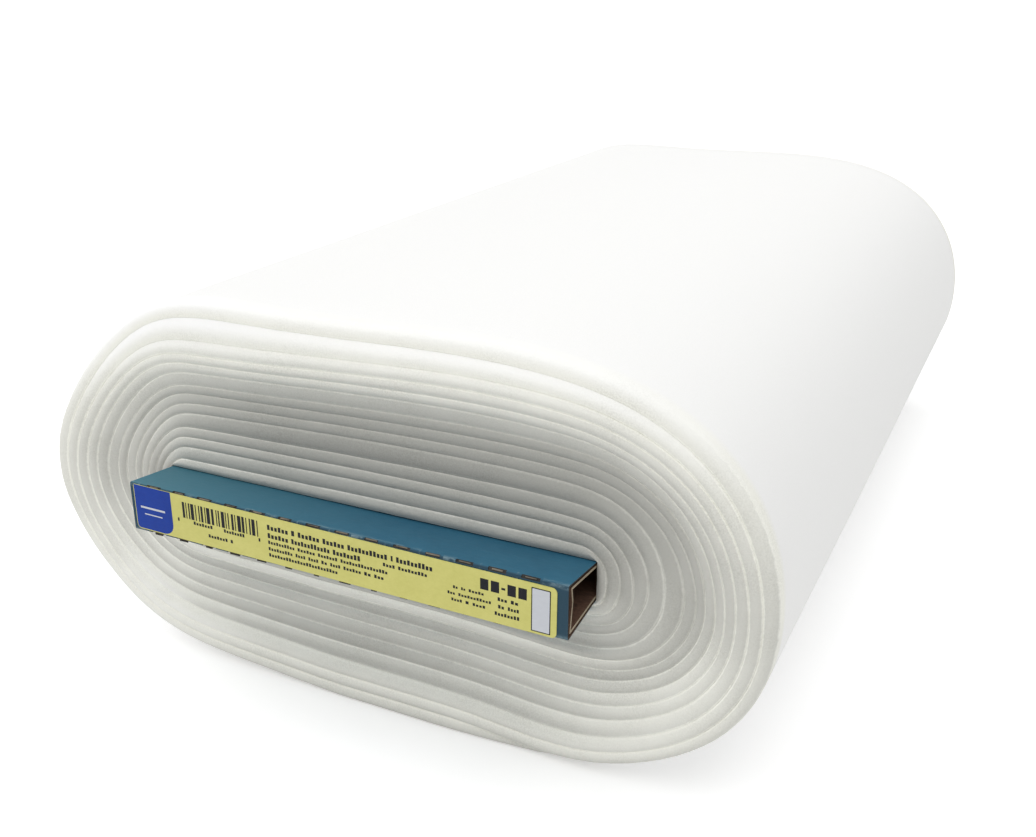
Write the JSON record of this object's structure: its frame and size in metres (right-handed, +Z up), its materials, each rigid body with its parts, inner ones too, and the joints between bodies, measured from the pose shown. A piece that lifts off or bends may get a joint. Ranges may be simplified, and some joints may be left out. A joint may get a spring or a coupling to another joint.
{
  "type": "roll of foam stabilizer on a bolt board",
  "caption": "Bolt of white foam stabilizer wound flat on a folded cardboard board, with steps at the cut edges of its turns and a plain label on the board's end.",
  "frame": {"origin": "on the surface, under the middle of the whole object's box", "axes": "+Y along the roll, away from the labelled end; +Z up; +X to the right seen from the labelled end"},
  "size_m": [0.3474, 0.565, 0.1764],
  "materials": {
    "foam": "white foam faced with fine knit, soft matt nap",
    "printed_board": "teal print on cardboard, satin, worn along the folds",
    "kraft_board": "plain brown kraft, matt",
    "label": "pale yellow coated paper with a plain blue patch"
  },
  "bodies": {
    "root": {"foam_roll": "foam", "board_wrap": "printed_board", "board_core": "kraft_board", "end_label": "label"}
  },
  "joints": []
}
